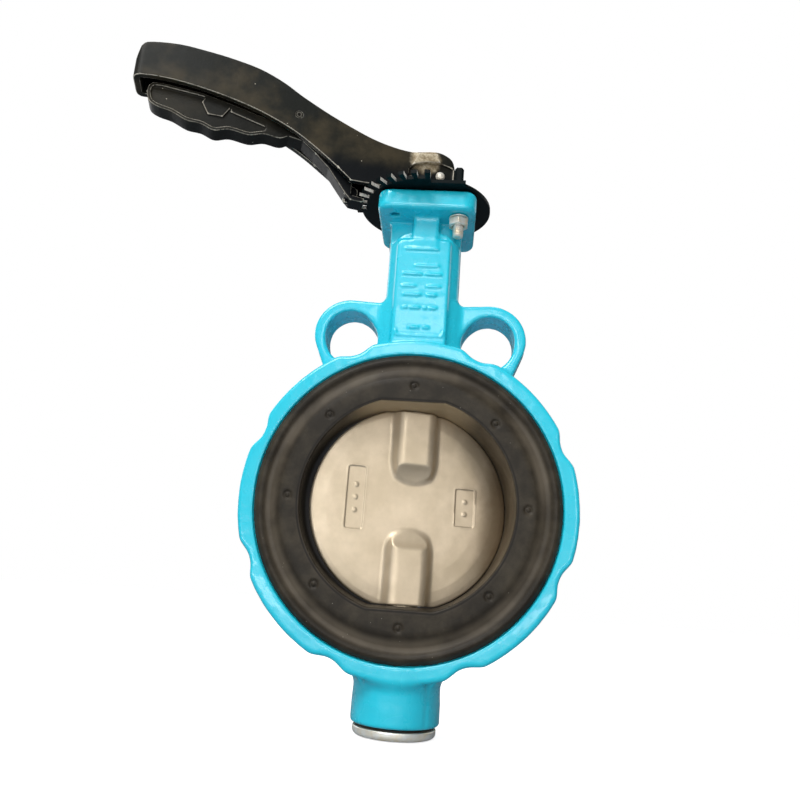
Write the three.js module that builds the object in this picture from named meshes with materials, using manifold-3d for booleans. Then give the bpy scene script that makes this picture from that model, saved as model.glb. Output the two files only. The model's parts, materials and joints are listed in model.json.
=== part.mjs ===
// Wafer butterfly valve, DN 100 (4 in), with a latching hand lever.
// Millimetres. Origin at the centre of the bore, +Z up the stem, +Y along the pipe.
// The disc, the stems and the lever share one turning group, drawn 15 degrees open.
import * as THREE from 'three';
import { mergeVertices } from 'three/addons/utils/BufferGeometryUtils.js';
import Module from 'manifold-3d';

const wasm = await Module();
wasm.setup();

// ---- driving dimensions -----------------------------------------------------------
const GAP = 0.3; // clearance left between neighbouring pieces
const OPEN_ANGLE = THREE.MathUtils.degToRad(15);

const FACE = 26; // half the face-to-face length, over the rubber
const BORE_R = 52.5;
const BORE_MOUTH_R = 53.2;
const THROAT_R = 50.75; // the bore behind the disc, where it holds the disc's edge
const MOUTH = 25.4; // from the middle plane to the start of the mouth's chamfer
const FLAT_R = [53.8, 63]; // sealing plateau of each rubber face
const VALLEY_R = 70;
const CREST_R = 74.6;
const LINER_R = 57.9; // outside of the liner's sleeve
const LIP_R = 76.8; // outside of the liner's two lips
const LAND = { x: 20, y: 16.3, z: 49.9, mouth: 50.9 }; // flats along the bore over the stem holes

const BODY_R = 85.4;
const BODY_HALF = 23.5; // half the width of the metal ring
const LIP_SEAT = 21; // half width of the ring under the lips
const SCALLOP_COUNT = 8;
const SCALLOP_R = 14;
const SCALLOP_PCR = 96.2;

const EAR_R = 19.6;
const EAR_HOLE_R = 13.1;
const EAR_PCR = 99.4;
const EAR_HALF = 10.3;
const EAR_ANGLE = Math.PI / 8; // each side of the stem

const NECK_HALF = 20;
const NECK_DEPTH = 16;
const NECK_CHAMFER = 5.5;
const POCKET_LOW = { inner: 151, bend: 149.5, outer: 143 }; // lower edge of the nut pockets
const PAD_HALF = 15.2;
const PAD_RISE = 1.5;
const PAD_LOW = 87;
const PAD_TOP = 146;
const RIB_HALF = 7;

const FLANGE_HALF = 27.5;
const FLANGE_LOW = 159.3;
const FLANGE_TOP = 171.5;
const FLANGE_BOLT_R = 25; // F05 pattern, 50 mm circle
const FLANGE_HOLE_R = 3.5;
const SPARE_HOLE_R = 2.6; // the two flange holes left empty
const POCKET_Y = 10.2; // nut pockets cut the neck back to here

const BOSS_R = 21.8;
const BOSS_LOW = -105;
const PLUG_R = 20.4;
const PLUG_TOP = -106.2;
const PLUG_LOW = -110.4;
const STEM_BORE_R = 11.3;
const STEM_R = 7.9;
const STEM_SQUARE = 11;
const STEM_TOP = 197;
const SQUARE_LOW = 20; // bottom of the square in the disc
const SQUARE_HIGH = 34; // where the square turns into the round stem
const LOWER_STEM_END = -97;
const RING_GROOVE = [164.8, 166.8];

const DISC_R = 52;
const DISC_HALF = 5; // half thickness of the plate
const HUB_HALF = 11.6;
const HUB_FLAT = 10.6;
const HUB_END = 49.5;
const HUB_EDGE = 21.5; // where the hub's flat front ends and its nose falls away
const HUB_TIP = 13;
const HUB_NOSE = 4; // half thickness of the plate at the nose's tip
const STEM_SEAT = 22; // inner end of the lower stem's hole

const PLATE_LOW = FLANGE_TOP + GAP;
const PLATE_THICK = 2;
const PLATE_TOP = PLATE_LOW + PLATE_THICK;
const PLATE_R = 35.5;
const PLATE_FRONT = -32.5; // straight front edge beyond the last tooth
const PLATE_CORNER = 20.5; // X of the front edge's free corner
const TOOTH_TIP_R = 42;
const TOOTH_ROOT_R = 36.2;
const TOOTH_PITCH = 10; // degrees
const NOTCH_COUNT = 9;
const NOTCH_WIDTH = 4;
const FIRST_NOTCH = 185; // degrees round the stem from +X
const LAST_TOOTH_END = 272.1;
const STOP_TAB = { x: [14.2, 19.2], y: [-30.5, -25], top: 183.6 };

const M6_R = 3;
const M6_FLATS = 10;
const BOLT_END = 147.3;

const LEVER_HALF = 10.5;
const LEVER_WALL = 3.5;
const LEVER_END = 172;
const LEVER_HEEL = -13.3; // rounded end of the hub, behind the stem
const LEVER_FOOT = 177.5;
const FOOT_END = 48.3;
const HUB_BLOCK = 15; // solid length of the lever's hub beyond the stem
const PIVOT = { u: 80.3, z: 212.7 }; // trigger pin, u outwards along the lever
const CLAMP = { u: -3.4, z: 190.3 }; // screw through the hub's near wall
const RECESS_DEPTH = 2;
const SCREW_R = 1.9;
const TRIGGER_HALF = 5.5;
const TOE_HALF = 1.1;
const SLOT_HALF = 2.2;
const PIN_R = 1.7;

const ROUND = 72; // facets on the large turned shapes
const MIDDLE = 32; // facets on bosses and ear holes
const SMALL = 24; // facets on the small ones

// ---- solid helpers -----------------------------------------------------------------
function signedVolume(geometry) {
  const p = geometry.getAttribute('position');
  const index = geometry.getIndex();
  const [a, b, c] = [new THREE.Vector3(), new THREE.Vector3(), new THREE.Vector3()];
  let sum = 0;
  for (let i = 0; i < index.count; i += 3) {
    a.fromBufferAttribute(p, index.getX(i));
    b.fromBufferAttribute(p, index.getX(i + 1));
    c.fromBufferAttribute(p, index.getX(i + 2));
    sum += a.dot(b.cross(c));
  }
  return sum / 6;
}

// A closed three.js geometry as a manifold solid with its faces pointing out.
function solid(geometry) {
  const bare = geometry.clone();
  bare.deleteAttribute('normal');
  bare.deleteAttribute('uv');
  const merged = mergeVertices(bare, 1e-4);
  const triangles = Array.from(merged.getIndex().array);
  if (signedVolume(merged) < 0) triangles.reverse();
  const kept = [];
  for (let i = 0; i < triangles.length; i += 3) {
    const [a, b, c] = triangles.slice(i, i + 3);
    if (a !== b && b !== c && a !== c) kept.push(a, b, c);
  }
  const mesh = new wasm.Mesh({
    numProp: 3,
    vertProperties: new Float32Array(merged.getAttribute('position').array),
    triVerts: new Uint32Array(kept),
  });
  mesh.merge();
  return new wasm.Manifold(mesh);
}

function toGeometry(manifold) {
  const mesh = manifold.getMesh();
  const geometry = new THREE.BufferGeometry();
  geometry.setAttribute('position', new THREE.BufferAttribute(mesh.vertProperties, 3));
  geometry.setIndex(new THREE.BufferAttribute(mesh.triVerts, 1));
  geometry.computeVertexNormals();
  return geometry;
}

const joined = (...parts) => parts.reduce((sum, part) => sum.add(part));
const without = (base, ...cuts) => cuts.reduce((rest, cut) => rest.subtract(cut), base);

// ---- shape helpers -----------------------------------------------------------------
const points2 = (pairs) => pairs.map(([a, b]) => new THREE.Vector2(a, b));

// A closed profile of [radius, along] turned round the stem (Z) or round the bore (Y).
function aroundBore(profile, facets = ROUND) {
  return new THREE.LatheGeometry(points2([...profile, profile[0]]), facets);
}

function aroundStem(profile, facets = SMALL) {
  return aroundBore(profile, facets).rotateX(Math.PI / 2);
}

// A tube or drum on a vertical axis.
function drum(outer, low, high, inner = 0, facets = SMALL) {
  return aroundStem([[inner, low], [outer, low], [outer, high], [inner, high]], facets);
}

function block(x0, x1, y0, y1, z0, z1) {
  const box = new THREE.BoxGeometry(x1 - x0, y1 - y0, z1 - z0);
  return box.translate((x0 + x1) / 2, (y0 + y1) / 2, (z0 + z1) / 2);
}

// An XY outline standing from z0 to z1, its edges rounded by an optional bevel.
function standing(shape, z0, z1, bevel = 0) {
  return new THREE.ExtrudeGeometry(shape, {
    depth: z1 - z0 - 2 * bevel,
    curveSegments: 6,
    bevelEnabled: bevel > 0,
    bevelThickness: bevel,
    bevelSize: bevel,
    bevelOffset: -bevel,
    bevelSegments: 1,
  }).translate(0, 0, z0 + bevel);
}

// An XZ outline reaching from y0 to y1.
function sideways(shape, y0, y1, bevel = 0) {
  return standing(shape, -y1, -y0, bevel).rotateX(Math.PI / 2);
}

// A YZ outline reaching from x0 to x1.
function lengthways(shape, x0, x1, bevel = 0) {
  return standing(shape, x0, x1, bevel).rotateX(Math.PI / 2).rotateZ(Math.PI / 2);
}

function roundedRectangle(x0, x1, y0, y1, r) {
  const shape = new THREE.Shape();
  shape.moveTo(x0 + r, y0).lineTo(x1 - r, y0);
  shape.absarc(x1 - r, y0 + r, r, -Math.PI / 2, 0);
  shape.absarc(x1 - r, y1 - r, r, 0, Math.PI / 2);
  shape.absarc(x0 + r, y1 - r, r, Math.PI / 2, Math.PI);
  shape.absarc(x0 + r, y0 + r, r, Math.PI, 1.5 * Math.PI);
  return shape;
}

// Outline with u measured outwards along the lever, which is -X.
function leverShape(pairs) {
  return new THREE.Shape(pairs.map(([u, z]) => new THREE.Vector2(-u, z)));
}

const splined = (pairs, count) => new THREE.SplineCurve(points2(pairs)).getPoints(count)
  .map((p) => [p.x, p.y]);

function node(name, geometry, color, roughness, metalness) {
  const shape = geometry instanceof THREE.BufferGeometry ? solid(geometry) : geometry;
  const material = new THREE.MeshStandardMaterial({ color, roughness, metalness });
  const mesh = new THREE.Mesh(toGeometry(shape), material);
  mesh.name = name;
  return mesh;
}

const PAINT = [0x35cbe6, 0.35, 0.0];
const RUBBER = [0x262321, 0.75, 0.0];
const STAINLESS = [0xa89c8c, 0.4, 0.9];
const BLACK_STEEL = [0x1d1c1a, 0.45, 0.4];
const ZINC = [0xb9b2a6, 0.35, 0.9];
const BRONZE = [0x9c7440, 0.45, 0.8];

// ---- the casting -------------------------------------------------------------------
function ringSolid() {
  const edge = 2;
  const inner = LINER_R + GAP;
  const lip = LIP_R + GAP;
  const soft = edge * (1 - Math.SQRT1_2);
  const half = [
    [inner, LIP_SEAT],
    [lip, LIP_SEAT],
    [lip, BODY_HALF],
    [BODY_R - edge, BODY_HALF],
    [BODY_R - soft, BODY_HALF - soft],
    [BODY_R, BODY_HALF - edge],
  ];
  const other = half.map(([r, y]) => [r, -y]).reverse();
  return solid(aroundBore([...half, ...other]));
}

// Clearance for the pipe flange bolts, as cylinders along the bore.
function scallops() {
  const cuts = [];
  for (let i = 0; i < SCALLOP_COUNT; i += 1) {
    const angle = EAR_ANGLE + (i * 2 * Math.PI) / SCALLOP_COUNT;
    const cut = aroundBore([[0, -40], [SCALLOP_R, -40], [SCALLOP_R, 40], [0, 40]], MIDDLE);
    cuts.push(solid(cut.translate(SCALLOP_PCR * Math.sin(angle), 0, SCALLOP_PCR * Math.cos(angle))));
  }
  return cuts;
}

// One guide ear: a loop round the bolt, running down to the ring and in to the neck.
function earSolid(side) {
  const cx = EAR_PCR * Math.sin(EAR_ANGLE);
  const cz = EAR_PCR * Math.cos(EAR_ANGLE);
  const top = cz + EAR_R;
  const root = 60; // distance from the bore's axis at which the lug starts, inside the ring
  const shape = new THREE.Shape();
  shape.moveTo(NECK_HALF - 4, 72);
  shape.lineTo(
    root * Math.sin(EAR_ANGLE) + EAR_R * Math.cos(EAR_ANGLE),
    root * Math.cos(EAR_ANGLE) - EAR_R * Math.sin(EAR_ANGLE),
  );
  shape.absarc(cx, cz, EAR_R, -EAR_ANGLE, Math.PI / 2);
  shape.lineTo(NECK_HALF + 6, top - 1.2);
  shape.quadraticCurveTo(NECK_HALF, top - 0.8, NECK_HALF - 0.5, top + 6);
  shape.lineTo(NECK_HALF - 4, top + 6);
  const ear = sideways(shape, -EAR_HALF, EAR_HALF, 1.2);
  const hole = aroundBore([[0, -40], [EAR_HOLE_R, -40], [EAR_HOLE_R, 40], [0, 40]], MIDDLE);
  const loop = without(solid(ear), solid(hole.translate(cx, 0, cz)));
  return side < 0 ? loop.mirror([1, 0, 0]) : loop;
}

function neckSolid() {
  const inset = NECK_HALF - NECK_CHAMFER;
  const lip = NECK_DEPTH - NECK_CHAMFER;
  const section = new THREE.Shape(points2([
    [-inset, -NECK_DEPTH], [inset, -NECK_DEPTH], [NECK_HALF, -lip], [NECK_HALF, lip],
    [inset, NECK_DEPTH], [-inset, NECK_DEPTH], [-NECK_HALF, lip], [-NECK_HALF, -lip],
  ]));
  const front = -NECK_DEPTH - PAD_RISE;
  const pad = sideways(roundedRectangle(-PAD_HALF, PAD_HALF, PAD_LOW, PAD_TOP, 4), front, 0, 0.6);
  const rib = block(-RIB_HALF, RIB_HALF, front, 0, PAD_TOP - 4, FLANGE_LOW + 1);
  return joined(solid(standing(section, 70, FLANGE_LOW + 1)), solid(pad), solid(rib));
}

function flangeCorners() {
  const step = FLANGE_BOLT_R * Math.SQRT1_2;
  return [[-step, -step], [step, -step], [step, step], [-step, step]];
}

// Recesses for the nuts beside the ribs, their lower edge rising towards the rib.
function nutPockets() {
  const inner = RIB_HALF + 0.5;
  const outer = NECK_HALF + 1;
  const shape = new THREE.Shape(points2([
    [inner, FLANGE_LOW], [inner, POCKET_LOW.inner], [12, POCKET_LOW.bend],
    [outer, POCKET_LOW.outer], [outer, FLANGE_LOW],
  ]));
  const pocket = solid(sideways(shape, -30, -POCKET_Y));
  const pair = joined(pocket, pocket.mirror([1, 0, 0]));
  return joined(pair, pair.mirror([0, 1, 0]));
}

function valveBody() {
  const flange = roundedRectangle(-FLANGE_HALF, FLANGE_HALF, -FLANGE_HALF, FLANGE_HALF, 7);
  const edge = 1.5;
  const boss = [
    [0, BOSS_LOW], [BOSS_R - edge, BOSS_LOW], [BOSS_R, BOSS_LOW + edge], [BOSS_R, -78], [0, -78],
  ];
  let body = joined(
    ringSolid(),
    earSolid(-1),
    earSolid(1),
    neckSolid(),
    solid(standing(flange, FLANGE_LOW, FLANGE_TOP, 1.6)),
    solid(aroundStem(boss, MIDDLE)),
  );
  body = without(body, ...scallops(), nutPockets());
  for (const [x, y] of flangeCorners()) {
    const r = x * y < 0 ? FLANGE_HOLE_R : SPARE_HOLE_R;
    body = without(body, solid(drum(r, FLANGE_LOW - 2, FLANGE_TOP + 2).translate(x, y, 0)));
  }
  return without(
    body,
    solid(drum(STEM_BORE_R, 50, FLANGE_TOP + 2)),
    solid(drum(STEM_BORE_R, BOSS_LOW - 2, -50)),
    solid(drum(STEM_BORE_R + 1.3, ...RING_GROOVE)),
  );
}

// ---- the rubber liner --------------------------------------------------------------
function seatLiner() {
  const lip = [
    [FLAT_R[0], FACE],
    [FLAT_R[1], FACE],
    [VALLEY_R, FACE - 2.7],
    [CREST_R, FACE - 0.8],
    [LIP_R, FACE - 2.6],
    [LIP_R, LIP_SEAT + GAP],
    [LINER_R, LIP_SEAT + GAP],
  ];
  const front = [[BORE_R, 14], [BORE_MOUTH_R, MOUTH], ...lip];
  // Behind the disc the bore follows the ball that the disc's edge sweeps, then runs straight.
  const swept = DISC_R + GAP;
  const rear = [0, 1, 2, 3, 4].map((i) => {
    const y = (Math.sqrt(swept ** 2 - THROAT_R ** 2) * i) / 4;
    return [Math.sqrt(swept ** 2 - y ** 2), y];
  });
  rear.push([THROAT_R, 22], [BORE_MOUTH_R - 0.8, MOUTH], ...lip);
  const forward = front.map(([r, y]) => [r, -y]).reverse();
  const sleeve = solid(aroundBore([...forward, ...rear]));
  const end = FACE - GAP;
  const outline = new THREE.Shape(points2([
    [-end, 60], [-end, LAND.mouth], [-LAND.y, LAND.z], [LAND.y, LAND.z], [end, LAND.mouth], [end, 60],
  ]));
  const buried = aroundBore([[0, -end], [LINER_R - 2, -end], [LINER_R - 2, end], [0, end]]);
  const land = solid(lengthways(outline, -LAND.x, LAND.x)).intersect(solid(buried));
  return without(
    joined(sleeve, land, land.rotate([180, 0, 0])),
    solid(drum(STEM_R + GAP, -70, 70)),
  );
}

// ---- disc and stems, drawn closed ----------------------------------------------------
function discSolid() {
  const rim = [[40, DISC_HALF], [50.8, 4.6], [51.6, 3.9], [51.9, 2.4]];
  const back = rim.map(([r, y]) => [r, -y]).reverse();
  const plate = aroundBore([[0, DISC_HALF], ...rim, [DISC_R, 0], ...back, [0, -DISC_HALF]]);
  const section = roundedRectangle(-HUB_HALF, HUB_HALF, -HUB_FLAT, HUB_FLAT, 3.5);
  const front = roundedRectangle(-HUB_HALF, HUB_HALF, HUB_TIP, 80, HUB_HALF - 0.1);
  const nose = new THREE.Shape(points2([
    [-HUB_NOSE, HUB_TIP - 1], [HUB_NOSE, HUB_TIP - 1], [HUB_FLAT, HUB_EDGE], [HUB_FLAT, 60],
    [-HUB_FLAT, 60], [-HUB_FLAT, HUB_EDGE],
  ]));
  const hub = () => solid(standing(section, 0, 60))
    .intersect(solid(sideways(front, -20, 20)))
    .intersect(solid(lengthways(nose, -20, 20)));
  const inside = solid(block(-60, 60, -20, 20, -HUB_END, HUB_END));
  const socket = (STEM_SQUARE + 2 * GAP) / 2;
  return without(
    joined(solid(plate), hub(), hub().rotate([180, 0, 0])).intersect(inside),
    solid(drum(STEM_R + GAP, SQUARE_HIGH, 60)),
    solid(block(-socket, socket, -socket, socket, SQUARE_LOW, 40)),
    solid(drum(STEM_R + GAP, -60, -STEM_SEAT)),
  );
}

function upperStem() {
  const half = STEM_SQUARE / 2;
  return joined(
    solid(block(-half, half, -half, half, SQUARE_LOW + GAP, STEM_TOP)),
    solid(drum(STEM_R, SQUARE_HIGH + GAP, PLATE_TOP)),
  );
}

function oRing(z) {
  const profile = [];
  for (let i = 0; i < 6; i += 1) {
    const a = (i * Math.PI) / 3;
    profile.push([(STEM_R + STEM_BORE_R) / 2 + 1.3 * Math.cos(a), z + 1.3 * Math.sin(a)]);
  }
  return aroundStem(profile);
}

function retainingRing() {
  const [low, high] = RING_GROOVE;
  const ring = solid(drum(STEM_BORE_R + 1, low + GAP, high - GAP, 9));
  return without(ring, solid(block(-2.5, 2.5, 5, 20, low - 1, high + 1)));
}

function bottomPlug() {
  const spigot = STEM_BORE_R - GAP;
  return aroundStem([
    [0, PLUG_LOW], [PLUG_R - 2, PLUG_LOW], [PLUG_R - 0.6, PLUG_LOW + 0.9], [PLUG_R, PLUG_LOW + 2.4],
    [PLUG_R, PLUG_TOP], [spigot, PLUG_TOP], [spigot, -99], [0, -99],
  ], MIDDLE);
}

function plugSeal() {
  return drum(PLUG_R - 0.9, PLUG_TOP + GAP, BOSS_LOW - GAP, STEM_BORE_R + 0.5, MIDDLE);
}

// ---- notch plate and its bolts -------------------------------------------------------
function notchPlate() {
  const rad = THREE.MathUtils.degToRad;
  const toothed = [FIRST_NOTCH - TOOTH_PITCH, LAST_TOOTH_END];
  const shape = new THREE.Shape();
  shape.moveTo(TOOTH_TIP_R * Math.cos(rad(LAST_TOOTH_END)), PLATE_FRONT);
  shape.lineTo(PLATE_CORNER, PLATE_FRONT);
  shape.absarc(0, 0, PLATE_R, -Math.acos(PLATE_CORNER / PLATE_R), rad(toothed[0] - 60), false);
  shape.absarc(0, 0, TOOTH_TIP_R - 3, rad(toothed[0] - 45), rad(toothed[0]), false);
  shape.absarc(0, 0, TOOTH_TIP_R, rad(toothed[0]), rad(toothed[1]), false);
  shape.closePath();
  const tab = roundedRectangle(...STOP_TAB.y, PLATE_LOW + 0.4, STOP_TAB.top, 2);
  const blank = new THREE.ExtrudeGeometry(shape, {
    depth: PLATE_THICK,
    curveSegments: 16,
    bevelEnabled: false,
  });
  let plate = joined(
    solid(blank.translate(0, 0, PLATE_LOW)),
    solid(lengthways(tab, ...STOP_TAB.x, 1.2)),
  );
  for (let i = 0; i < NOTCH_COUNT; i += 1) {
    const half = NOTCH_WIDTH / 2;
    const notch = block(TOOTH_ROOT_R, 60, -half, half, PLATE_LOW - 1, PLATE_TOP + 1);
    plate = without(plate, solid(notch.rotateZ(rad(FIRST_NOTCH + i * TOOTH_PITCH))));
  }
  const holes = flangeCorners().filter(([x, y]) => x * y < 0);
  for (const [x, y] of holes) {
    plate = without(plate, solid(drum(FLANGE_HOLE_R, PLATE_LOW - 1, PLATE_TOP + 1).translate(x, y, 0)));
  }
  return without(plate, solid(drum(12.5, PLATE_LOW - 1, PLATE_TOP + 1)));
}

function hexagon(flats, z0, z1) {
  return drum(flats / Math.sqrt(3), z0, z1, 0, 6);
}

function flangeBolt() {
  return joined(
    solid(hexagon(M6_FLATS, PLATE_TOP + GAP, PLATE_TOP + 4.3)),
    solid(drum(M6_R, BOLT_END, PLATE_TOP + 1)),
  );
}

function flangeNut() {
  const top = FLANGE_LOW - 1.4;
  const nut = hexagon(M6_FLATS, top - 4.2, top).rotateZ(Math.PI / 6);
  return without(solid(nut), solid(drum(M6_R + GAP, 140, 170)));
}

function springWasher() {
  const washer = solid(drum(5.3, FLANGE_LOW - 1.1, FLANGE_LOW - GAP, M6_R + GAP));
  return without(washer, solid(block(0, 8, -0.6, 0.6, 150, 165)));
}

// ---- lever, trigger, pin and spring, drawn closed and pointing along -X ------------------
const LEVER_TOP = [
  [169.8, 237.6], [165.5, 240.8], [149.4, 242.9], [133.5, 242], [118.6, 240.2], [103.4, 237],
  [90.5, 231.6], [78.8, 224.8], [64.3, 217.4], [49.8, 211.1], [36.7, 206.2], [25.2, 203.6],
  [15.1, 202.6], [9.4, 203.5], [1, 205.2], [-5, 204.6], [-10.6, 201], [LEVER_HEEL, 194],
];
const LEVER_RIM = [
  [49, 178.6], [61.5, 188.4], [79, 200.2], [93.3, 207], [107.2, 211.9], [122.2, 215.6],
  [135.6, 218], [148.7, 219.5], [160.3, 219.7], [LEVER_END, 218.4],
];

function leverHandle() {
  const top = splined(LEVER_TOP, 40);
  const rim = splined(LEVER_RIM, 16);
  const side = leverShape([...top, [LEVER_HEEL, LEVER_FOOT], [FOOT_END, LEVER_FOOT], ...rim]);
  const plan = roundedRectangle(-LEVER_END, -LEVER_HEEL, -LEVER_HALF, LEVER_HALF, 5);
  const footprint = solid(standing(plan, 150, 260));
  const ceiling = splined(LEVER_TOP, 40)
    .map(([u, z]) => [Math.min(u, LEVER_END - LEVER_WALL), z - LEVER_WALL])
    .filter(([u]) => u > HUB_BLOCK);
  const innerHalf = LEVER_HALF - LEVER_WALL;
  const hollow = leverShape([...ceiling, [HUB_BLOCK, 150], [LEVER_END - LEVER_WALL, 150]]);
  const socket = (STEM_SQUARE + 2 * GAP) / 2;
  const recess = leverShape([
    [-8.8, 187.2], [15.5, 187.2], [15.2, 191.7], [11.5, 194.6], [7.2, 196], [2, 197.2], [-4, 197.6],
    [-10.7, 196], [-10.7, 189.1],
  ]);
  const boss = leverShape([[-1, 203.4], [10.5, 201.8], [14.6, 192.9], [7.2, 196], [-3, 197.7]]);
  const pinHole = drum(PIN_R + GAP, -20, 20).rotateX(Math.PI / 2).translate(-PIVOT.u, 0, PIVOT.z);
  const screwHole = drum(SCREW_R + GAP, 0, 20).rotateX(Math.PI / 2).translate(-CLAMP.u, 0, CLAMP.z);
  return without(
    joined(
      solid(sideways(side, -LEVER_HALF, LEVER_HALF, 1.2)).intersect(footprint),
      solid(sideways(boss, -LEVER_HALF - 1.3, -LEVER_HALF + 2)),
    ),
    solid(sideways(hollow, -innerHalf, innerHalf)),
    solid(block(-socket, socket, -socket, socket, 170, STEM_TOP + 1)),
    solid(sideways(recess, -20, -LEVER_HALF + RECESS_DEPTH)),
    solid(pinHole),
    solid(screwHole),
  );
}

function clampScrew() {
  const head = 2.7;
  const profile = [
    [0, 6.1], [SCREW_R, 6.1], [SCREW_R, 8.8], [head, 8.8], [head, 9.7], [SCREW_R, 10.8], [0, 11.2],
  ];
  return aroundStem(profile).rotateX(Math.PI / 2).translate(-CLAMP.u, 0, CLAMP.z);
}

const TRIGGER_WAVES = [
  [163.8, 211], [162.3, 205], [157, 203.8], [149.4, 203], [141, 199.4], [133.2, 198.8],
  [125.5, 196.2], [117.5, 198.4], [106.6, 197.2], [98.5, 199.5], [89.8, 198.7], [85, 200.9],
];

function triggerSolid() {
  const waves = splined(TRIGGER_WAVES, 32);
  const boss = [];
  for (let i = 0; i <= 8; i += 1) {
    const a = (0.15 + (i * 0.85) / 8) * Math.PI;
    boss.push([PIVOT.u + 7 * Math.cos(a), PIVOT.z + 7 * Math.sin(a)]);
  }
  const side = leverShape([
    ...waves, [77, 199.6], [69.8, 194], [60.8, 185.7], [55.8, 179.2], [50.3, 172], [46.9, 168.3],
    [40.4, 167.9], [38.6, 168.8], [38.8, 170.6], [44, 171.3], [46.5, 171.4], [46.5, 180], [51, 184],
    [58.5, 191], [69, 203],
    ...boss.reverse(),
    [92, 212.4], [98, 209.8], [118.5, 214.8], [134.5, 218.2], [156, 219.8], [161, 219.4], [163.2, 217],
  ]);
  const toe = leverShape([
    [42.5, 169.5], [43.2, 168.4], [50, 168.6], [50, 181], [43.5, 178.4], [42.5, 177.4],
  ]);
  const alongPin = (geometry) => geometry.rotateX(Math.PI / 2).translate(-PIVOT.u, 0, PIVOT.z);
  const slot = new THREE.Shape();
  slot.absarc(-PIVOT.u, PIVOT.z, 6.4, -Math.PI, 0);
  slot.lineTo(6.4 - PIVOT.u, PIVOT.z + 15);
  slot.lineTo(-PIVOT.u - 12, PIVOT.z + 15);
  slot.lineTo(-PIVOT.u - 12, PIVOT.z);
  const wide = solid(sideways(side, -TRIGGER_HALF, TRIGGER_HALF, 0.8));
  return without(
    joined(wide, solid(sideways(toe, -TOE_HALF, TOE_HALF))),
    solid(alongPin(drum(PIN_R + GAP, -20, 20))),
    solid(sideways(slot, -SLOT_HALF, SLOT_HALF)),
  );
}

function triggerPin() {
  const length = LEVER_HALF - 0.1;
  return drum(PIN_R, -length, length, 0.9).rotateX(Math.PI / 2).translate(-PIVOT.u, 0, PIVOT.z);
}

// Torsion spring: a leg up to the lever's ceiling, the coil, and a leg over the trigger.
function triggerSpring() {
  const turns = 2.5;
  const radius = 4.2;
  const pitch = 1.2;
  const path = [new THREE.Vector3(-PIVOT.u - 14, -turns * pitch / 2, PIVOT.z + 14)];
  const steps = 30;
  const start = 0.75 * Math.PI;
  for (let i = 0; i <= steps; i += 1) {
    const a = start - (i / steps) * (turns * 2 - 0.6) * Math.PI;
    const y = -turns * pitch / 2 + (i / steps) * turns * pitch;
    path.push(new THREE.Vector3(radius * Math.cos(a) - PIVOT.u, y, radius * Math.sin(a) + PIVOT.z));
  }
  path.push(new THREE.Vector3(-PIVOT.u - 23, turns * pitch / 2, PIVOT.z + 4.6));
  const wire = new THREE.Shape();
  wire.absarc(0, 0, 0.5, 0, 2 * Math.PI);
  return new THREE.ExtrudeGeometry(wire, {
    steps: 56,
    curveSegments: 3,
    extrudePath: new THREE.CatmullRomCurve3(path, false, 'centripetal'),
  });
}

// ---- assembly ------------------------------------------------------------------------
const valve = new THREE.Group();
const still = new THREE.Group();
const turning = new THREE.Group();
turning.rotation.z = OPEN_ANGLE;
valve.add(still, turning);

const bush = (low, high) => drum(STEM_BORE_R - GAP, low, high, STEM_R + GAP);
still.add(
  node('valve_body', valveBody(), ...PAINT),
  node('seat_liner', seatLiner(), ...RUBBER),
  node('upper_bush', bush(139, 160), ...BRONZE),
  node('middle_bush', bush(62, 84), ...BRONZE),
  node('lower_bush', bush(-84, -62), ...BRONZE),
  node('upper_o_ring', oRing(135), ...RUBBER),
  node('lower_o_ring', oRing(88), ...RUBBER),
  node('retaining_ring', retainingRing(), ...ZINC),
  node('bottom_plug', bottomPlug(), ...ZINC),
  node('plug_seal', plugSeal(), ...RUBBER),
  node('notch_plate', notchPlate(), ...BLACK_STEEL),
);

const boltPlaces = { front: flangeCorners()[1], rear: flangeCorners()[3] };
for (const [place, [x, y]] of Object.entries(boltPlaces)) {
  const fastener = new THREE.Group();
  fastener.position.set(x, y, 0);
  fastener.add(
    node(`flange_bolt_${place}`, flangeBolt(), ...ZINC),
    node(`flange_nut_${place}`, flangeNut(), ...ZINC),
    node(`flange_washer_${place}`, springWasher(), ...ZINC),
  );
  still.add(fastener);
}

turning.add(
  node('disc', discSolid(), ...STAINLESS),
  node('upper_stem', upperStem(), ...STAINLESS),
  node('lower_stem', drum(STEM_R, LOWER_STEM_END, -STEM_SEAT - GAP), ...STAINLESS),
  node('stem_washer', drum(13, PLATE_TOP + GAP, LEVER_FOOT - GAP, STEM_R + GAP), ...ZINC),
  node('lever_handle', leverHandle(), ...BLACK_STEEL),
  node('clamp_screw', clampScrew(), ...ZINC),
  node('trigger', triggerSolid(), ...BLACK_STEEL),
  node('trigger_pin', triggerPin(), ...ZINC),
  node('trigger_spring', triggerSpring(), ...ZINC),
);

export default valve;
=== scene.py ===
"""Looks for a wafer butterfly valve with a latching hand lever.

Castings and forgings are signed distance fields, in millimetres, with the fillets and rounded
edges that a foundry leaves. Each is meshed and stands for the CAD node of the same shape. Thin
stamped and turned pieces keep their CAD node.
"""

import json
import math

import bpy
import numpy as np
import openvdb
from mathutils import Matrix, Vector


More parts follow.
